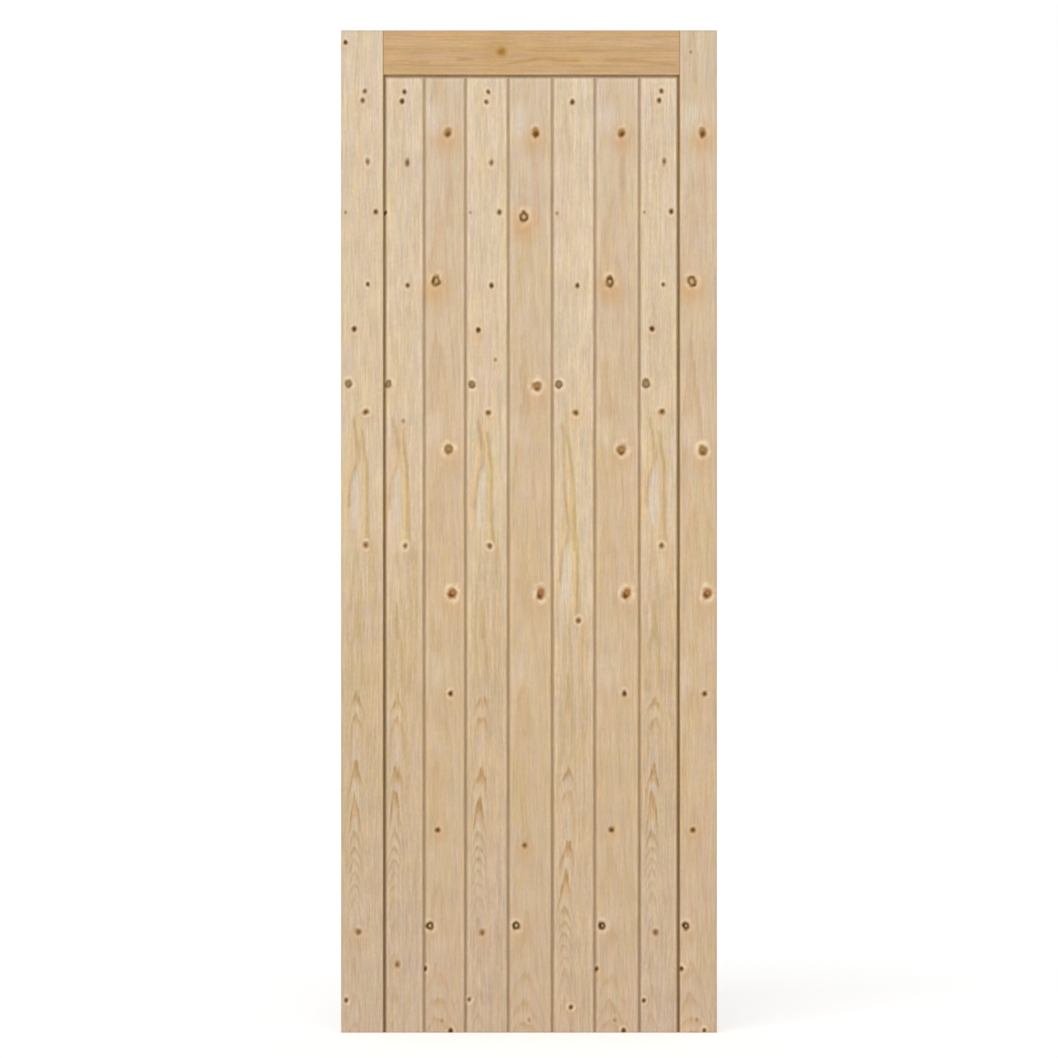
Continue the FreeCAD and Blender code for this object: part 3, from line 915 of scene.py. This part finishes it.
    def tint(self, colour: Socket, measure: Socket, shade: Shade) -> Socket:
        """Makes a colour darker or paler where a measure says so.

        Args:
            colour: the colour underneath.
            measure: what decides how much of the shade shows.
            shade: from where to where it sets in, and what it leaves of the colour.

        Returns:
            The tinted colour.
        """
        bare, full, tone = shade.value
        left = self.add(MAP_RANGE, {
            6: measure,
            7: (bare, bare, bare),
            8: (full, full, full),
            9: (1.0, 1.0, 1.0),
            10: tone,
        }, data_type="FLOAT_VECTOR")
        return self.add(Op.V_MULTIPLY, (colour, left))

    def shade_cut_faces(self, colour: Socket) -> Socket:
        """Darkens sawn end grain, and paints shade along the outer rim of the leaf's wide faces.

        Args:
            colour: the colour of the planed faces.

        Returns:
            The colour of all faces.
        """
        square = self.add(Op.V_DOT_PRODUCT, (self.facing, self.timber.along))
        end = self.add(Op.ABSOLUTE, (square,))
        colour = self.tint(colour, end, Shade.END_GRAIN)
        # Painted shade along the outer rim of the leaf's front and back faces.
        low, high = (Vector(corner) for corner in CAD_BOX)
        off = self.add(Op.V_SUBTRACT, (self.door_place, (low + high) / 2))
        apart = self.add(Op.V_ABSOLUTE, (off,))
        past = self.add(Op.V_SUBTRACT, (apart, (high - low) / 2))
        sides = self.add(SPLIT, (past,)).node.outputs
        nearest = self.add(Op.MAXIMUM, (sides["X"], sides["Z"]))
        ahead = self.add(SPLIT, (self.facing,)).node.outputs["Y"]
        wide = self.add(Op.ABSOLUTE, (ahead,))
        mark = self.add(Op.MULTIPLY_ADD, (wide, self.SHADED_RIM_REACH, nearest))
        return self.tint(colour, mark, Shade.PAINTED_RIM_SHADE)

    def shade_joints(self, colour: Socket) -> Socket:
        """Paints shade on the V flanks and in the gaps along the frame, and paints highlights on the strips
        beside them.

        Args:
            colour: the colour of all faces.

        Returns:
            The colour with its joints.
        """
        moulded, side = self.timber.moulded, self.timber.joint_side
        if not (moulded or side):
            return colour
        own = self.add(SPLIT, (self.place,)).node.outputs
        left, right, top = self.timber.face_edges() if moulded else (0.0, self.timber.width, 0.0)
        half = (right - left) / 2
        offset = self.add(Op.SUBTRACT, (own["X"], (left + right) / 2))
        outward = self.add(Op.MULTIPLY_ADD, (offset, side, -half))
        if moulded:
            apart = self.add(Op.ABSOLUTE, (offset,))
            beside = self.add(Op.SUBTRACT, (apart, half))
            above = self.add(Op.SUBTRACT, (own["Z"], top))
            beyond = self.add(Op.MAXIMUM, (beside, above))
            # Painted highlight beside each V groove, painted shade on its flanks, and painted shade in the
            # gap to the frame.
            steps = [(beyond, Shade.BOARD_EDGE_HIGHLIGHT), (beyond, Shade.V_FLANK_SHADE)]
            if side:
                steps += [(outward, Shade.GAP_FLANK_SHADE), (outward, Shade.GAP_FLOOR_SHADE)]
        else:
            # Painted highlight beside the frame's inner edge and painted shade on its arris, kept off the
            # back.
            hidden = self.add(MAP_RANGE, (own["Y"], *self.HIDDEN_DEPTHS, 0.0, self.HIDDEN_SHIFT))
            reach = self.add(Op.SUBTRACT, (outward, hidden))
            steps = [(reach, Shade.FRAME_EDGE_HIGHLIGHT), (reach, Shade.FRAME_ARRIS_SHADE)]
        for measure, shade in steps:
            colour = self.tint(colour, measure, shade)
        return colour

    def finish_surface(self, colour: Socket) -> None:
        """Adds the dull sheen and the fine relief of planed wood.

        Args:
            colour: the colour of all faces.
        """
        finish = self.finish
        rough = self.add(MAP_RANGE, {0: self.late, 3: finish.roughness_early, 4: finish.roughness_late})
        relief = self.add("ShaderNodeBump", {
            "Strength": self.RELIEF_STRENGTH,
            "Distance": finish.relief * MM,
            "Height": self.fibre,
        })
        wood = self.add("ShaderNodeBsdfPrincipled", {
            "Base Color": colour,
            "Roughness": rough,
            "IOR": finish.ior,
            "Specular IOR Level": finish.specular,
            "Normal": relief,
        })
        self.add("ShaderNodeOutputMaterial", {"Surface": wood})


class Assembly:
    """A sub-assembly of the door, dressed timber by timber."""

    def timbers(self) -> list[Timber]:
        """The timbers in it, in the order in which they are dressed."""
        raise NotImplementedError

    def dress(self, shared: SharedNodes) -> None:
        """Dresses each timber."""
        for timber in self.timbers():
            timber.dress(shared)


@dataclass
class Surround(Assembly):
    """The two stiles and the top rail, which show their whole thickness."""

    hinge_axis: float = 33.0
    lock_axis: float = 26.0
    rail_axis: float = 125.0

    def timbers(self) -> list[Timber]:
        """The frame's three timbers, with the knots on their faces.

        Returns:
            Hinge stile, lock stile and top rail.
        """
        return [
            Timber("hinge_stile", Sawing.FLAMED, FLAMED_REDWOOD, self.hinge_axis, 1.0, knots={
                Knot.PIN: ((48, 1909, 9), (44, 1890, 10), (70, 1664, 9), (54, 1517, 9), (10, 66, 9)),
                Knot.FAINT: ((54, 1766, 10),),
                Knot.GOLDEN: ((50, 1259, 13),),
                Knot.LIVE: ((50, 989, 11),),
                Knot.SOUND: ((35, 204, 12),),
                Knot.DARK: ((9, 2008, 9), (27, 1427, 10)),
                Knot.RING: ((15, 1316, 15),),
                Knot.GHOST: ((9, 1663, 6),),
            }, joint_side=1),
            Timber("lock_stile", Sawing.KNOTTY, KNOTTY_REDWOOD, self.lock_axis, 2.0, knots={
                Knot.TIGHT: ((732, 1825, 16),),
                Knot.ENCASED: ((711, 1523, 18),),
                Knot.ROUND: ((733, 1182, 19),),
                Knot.RED: ((742, 891, 18),),
                Knot.STRAW: ((714, 411, 12),),
                Knot.DARK: ((737, 687, 11), (690, 130, 10), (736, 4, 9)),
                Knot.GHOST: ((721, 26, 8), (709, 1988, 7)),
                Knot.DEAD: ((699, 217, 16),),
            }, joint_side=-1),
            Timber("top_rail", Sawing.QUIET, RAIL_REDWOOD, self.rail_axis, 3.0, knots={
                Knot.AMBER: ((325, 1988, 18),),
            }, joint_side=1),
        ]


FLAMED_KNOTS: list[Knots] = [
    {
        Knot.PIN: ((128, 1907, 9), (124, 1888, 10), (90, 1663, 8), (135, 1515, 9)),
        Knot.FAINT: ((135, 1764, 10),),
        Knot.LIVE: ((130, 987, 11),),
        Knot.SOUND: ((114, 138, 11),),
        Knot.RING: ((96, 1315, 15),),
        Knot.GHOST: ((126, 1240, 8),),
    },
    {
        Knot.PIN: ((298, 1907, 9), (294, 1887, 10), (321, 1663, 10), (305, 1515, 9), (260, 67, 10)),
        Knot.FAINT: ((305, 1764, 10),),
        Knot.GOLDEN: ((298, 1257, 13),),
        Knot.LIVE: ((301, 987, 11),),
        Knot.SOUND: ((286, 203, 12),),
        Knot.DARK: ((278, 1425, 10),),
        Knot.RING: ((266, 1315, 15),),
        Knot.GHOST: ((262, 1663, 6), (313, 1364, 7)),
    },
    {
        Knot.PIN: ((469, 1887, 10), (479, 1515, 9), (466, 52, 10)),
        Knot.GOLDEN: ((476, 1257, 13),),
        Knot.LIVE: ((481, 836, 11),),
        Knot.RING: ((442, 1314, 15),),
        Knot.GHOST: ((438, 1661, 7),),
    },
    {
        Knot.PIN: ((649, 1909, 9), (645, 1890, 10), (669, 1665, 10), (653, 1517, 9), (614, 66, 9)),
        Knot.FAINT: ((655, 1766, 10),),
        Knot.GOLDEN: ((650, 1259, 13),),
        Knot.LIVE: ((650, 988, 11),),
        Knot.SOUND: ((637, 204, 12),),
        Knot.DARK: ((630, 1427, 10),),
        Knot.RING: ((618, 1316, 15),),
        Knot.GHOST: ((615, 1663, 6),),
    },
]

KNOTTY_KNOTS: list[Knots] = [
    {
        Knot.TIGHT: ((216, 1825, 16),),
        Knot.ENCASED: ((193, 1525, 18),),
        Knot.ROUND: ((218, 1182, 19),),
        Knot.RED: ((226, 891, 18),),
        Knot.STRAW: ((196, 411, 12),),
        Knot.DARK: ((222, 687, 11), (170, 130, 10), (222, 4, 10)),
        Knot.GHOST: ((204, 24, 8),),
        Knot.DEAD: ((180, 217, 16),),
    },
    {
        Knot.TIGHT: ((394, 1825, 16),),
        Knot.ENCASED: ((371, 1654, 18),),
        Knot.ROUND: ((397, 1311, 19),),
        Knot.RED: ((404, 891, 18),),
        Knot.STRAW: ((372, 380, 12),),
        Knot.GHOST: ((381, 26, 8),),
        Knot.DEAD: ((355, 217, 16),),
    },
    {
        Knot.TIGHT: ((568, 1825, 16),),
        Knot.ENCASED: ((545, 1523, 18),),
        Knot.ROUND: ((569, 1182, 19),),
        Knot.RED: ((579, 891, 18),),
        Knot.STRAW: ((548, 411, 12),),
        Knot.DARK: ((574, 688, 11), (518, 130, 10), (573, 4, 10)),
        Knot.GHOST: ((555, 25, 8),),
        Knot.DEAD: ((530, 217, 16),),
    },
]


@dataclass
class Boarding(Assembly):
    """The seven V-jointed boards: flamed and knotty ones by turns."""

    flamed_axes: tuple[float, ...] = (33.0, 40.0, 38.0, 37.0)
    flamed_seed: float = 4.0
    knotty_axes: tuple[float, ...] = (35.0, 41.0, 40.0)
    knotty_seed: float = 9.0
    fifth_board_drop: float = 150.0

    def timbers(self) -> list[Timber]:
        """All seven boards, flamed ones first."""
        return self.flamed() + self.knotty()

    def flamed(self) -> list[Timber]:
        """Boards with arches up the middle and small knots.

        Returns:
            Boards 1, 3, 5 and 7, of which the first and last meet the frame.
        """
        drops = (0.0, 0.0, self.fifth_board_drop, 0.0)
        sawings = (Sawing.FLAMED, Sawing.FLAMED, Sawing.FORKED, Sawing.FLAMED)
        frame_sides = (-1, 0, 0, 1)
        return [
            Timber(f"board_{2 * place + 1}", sawings[place], FLAMED_REDWOOD, axis, self.flamed_seed + place,
                   FLAMED_KNOTS[place], drops[place], moulded=True, joint_side=frame_sides[place])
            for place, axis in enumerate(self.flamed_axes)
        ]

    def knotty(self) -> list[Timber]:
        """Boards with straight quiet grain and large branch knots.

        Returns:
            Boards 2, 4 and 6.
        """
        return [
            Timber(f"board_{2 * place + 2}", Sawing.KNOTTY, KNOTTY_REDWOOD, axis, self.knotty_seed + place,
                   KNOTTY_KNOTS[place], moulded=True)
            for place, axis in enumerate(self.knotty_axes)
        ]


@dataclass
class Backing(Assembly):
    """The ledges and braces behind the boards."""

    ledge_axis: float = 90.0
    brace_axis: float = 45.0

    def timbers(self) -> list[Timber]:
        """Lists what is nailed behind the boards, with a few knots of its own.

        Returns:
            Two ledges and two braces.
        """
        return [
            Timber("middle_ledge", Sawing.PLAIN, BACK_REDWOOD, self.ledge_axis, 13.0, knots={
                Knot.ROUND: ((190, 905, 18),),
                Knot.RED: ((521, 840, 17),),
                Knot.PIN: ((352, 930, 8),),
            }),
            Timber("bottom_ledge", Sawing.PLAIN, BACK_REDWOOD, self.ledge_axis, 14.0, knots={
                Knot.RED: ((258, 62, 17),),
                Knot.TIGHT: ((602, 131, 17),),
                Knot.PIN: ((431, 150, 8),),
            }),
            Timber("upper_brace", Sawing.PLAIN, BACK_REDWOOD, self.brace_axis, 15.0, knots={
                Knot.TIGHT: ((300, 1300, 16),),
                Knot.PIN: ((468, 1640, 8), (214, 1112, 8)),
            }),
            Timber("lower_brace", Sawing.PLAIN, BACK_REDWOOD, self.brace_axis, 16.0, knots={
                Knot.ROUND: ((452, 540, 16),),
                Knot.PIN: ((268, 322, 8),),
            }),
        ]


@dataclass
class TenonWedges(Assembly):
    """The small wedges that spread the through tenons, seen on the two edges."""

    stiles: tuple[str, ...] = ("hinge", "lock")
    joints: tuple[str, ...] = ("top", "middle", "bottom")
    axis: float = 10.0
    seed: float = 20.0

    def timbers(self) -> list[Timber]:
        """Names the wedges of each joint.

        Returns:
            One timber for each wedge node.
        """
        nodes = [f"{stile}_{joint}_wedges" for stile in self.stiles for joint in self.joints]
        return [Timber(node, Sawing.PLAIN, WEDGE_REDWOOD, self.axis, self.seed + place)
                for place, node in enumerate(nodes)]


@dataclass
class Studio:
    """White sweep, soft light from above the camera, and the square-on view."""

    floor_reach: float = 30.0
    frame_pixels: float = 1058.0
    pixel_size: float = 2.0272 * MM
    lowered_pixels: float = 2.5
    lens: float = 200.0
    sensor: float = 36.0
    sight: float = 100.0
    ambient: float = 0.6
    key: float = 0.18
    floor_glow: float = 0.345
    key_softness: float = 45.0
    key_aim: Spot = (0.2, 1.0, -0.9)
    white: str = "#FFFFFF"
    paper: str = "#F4F4F4"
    paper_roughness: float = 0.95

    def build(self) -> None:
        """Makes the floor, the light and the camera."""
        low, high = (Vector(corner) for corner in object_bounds())
        self.lay_floor()
        self.hang_light()
        self.place_camera(low, high)

    def lay_floor(self) -> None:
        """Lays a wide pale floor under the door."""
        reach = self.floor_reach
        mesh = bpy.data.meshes.new("studio_floor")
        corners = [(-reach, -reach, 0), (reach, -reach, 0), (reach, reach, 0), (-reach, reach, 0)]
        mesh.from_pydata(corners, [], [(0, 1, 2, 3)])
        floor = bpy.data.objects.new("studio_floor", mesh)
        bpy.context.scene.collection.objects.link(floor)
        # Matt white paper: no sheen, and lit enough to lose its edge against the sky.
        paper = bpy.data.materials.new("matt_white_paper")
        paper.use_nodes = True
        skin = paper.node_tree.nodes["Principled BSDF"].inputs
        skin["Base Color"].default_value = linear(self.paper)
        skin["Roughness"].default_value = self.paper_roughness
        skin["Specular IOR Level"].default_value = 0.0
        skin["Emission Color"].default_value = linear(self.white)
        skin["Emission Strength"].default_value = self.floor_glow
        mesh.materials.append(paper)
        floor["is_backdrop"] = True

    def hang_light(self) -> None:
        """Hangs one broad soft light in front, and a white room around it."""
        scene = bpy.context.scene
        lamp = bpy.data.lights.new("soft_key", "SUN")
        lamp.angle = math.radians(self.key_softness)
        aim = Vector(self.key_aim).normalized()
        lamp.energy = math.pi * self.key / aim.y
        key = bpy.data.objects.new("soft_key", lamp)
        key.rotation_euler = aim.to_track_quat("-Z", "Y").to_euler()
        scene.collection.objects.link(key)
        room = bpy.data.worlds.new("white_room")
        room.use_nodes = True
        tree = room.node_tree
        tree.nodes.clear()
        seen = add_node(tree, "ShaderNodeLightPath").node.outputs["Is Camera Ray"]
        level = add_node(tree, MAP_RANGE, {0: seen, 3: self.ambient, 4: 1.0})
        sky = add_node(tree, "ShaderNodeBackground", {"Color": linear(self.white), "Strength": level})
        add_node(tree, "ShaderNodeOutputWorld", {"Surface": sky})
        scene.world = room
        scene.view_settings.view_transform = "Standard"

    def place_camera(self, low: Vector, high: Vector) -> None:
        """Sets a long lens square on to the boarded face.

        Args:
            low: lowest corner of the door.
            high: highest corner of the door.
        """
        lens = bpy.data.cameras.new("square_on")
        lens.lens = self.lens
        lens.sensor_width = self.sensor
        lens.clip_end = self.sight
        distance = self.frame_pixels * self.pixel_size * self.lens / self.sensor
        camera = bpy.data.objects.new("square_on", lens)
        middle = (low + high) / 2
        camera.location = (middle.x, low.y - distance, middle.z + self.lowered_pixels * self.pixel_size)
        camera.rotation_euler = (math.radians(90), 0.0, 0.0)
        bpy.context.scene.collection.objects.link(camera)
        bpy.context.scene.camera = camera


def main() -> None:
    """Dresses every sub-assembly and sets the studio."""
    logging.basicConfig(level=logging.INFO, format="%(name)s %(message)s")
    shared = SharedNodes()
    for assembly in (Surround(), Boarding(), Backing(), TenonWedges()):
        assembly.dress(shared)
        LOG.info("%s dressed", type(assembly).__name__)
    Studio().build()


if __name__ == "__main__":
    main()
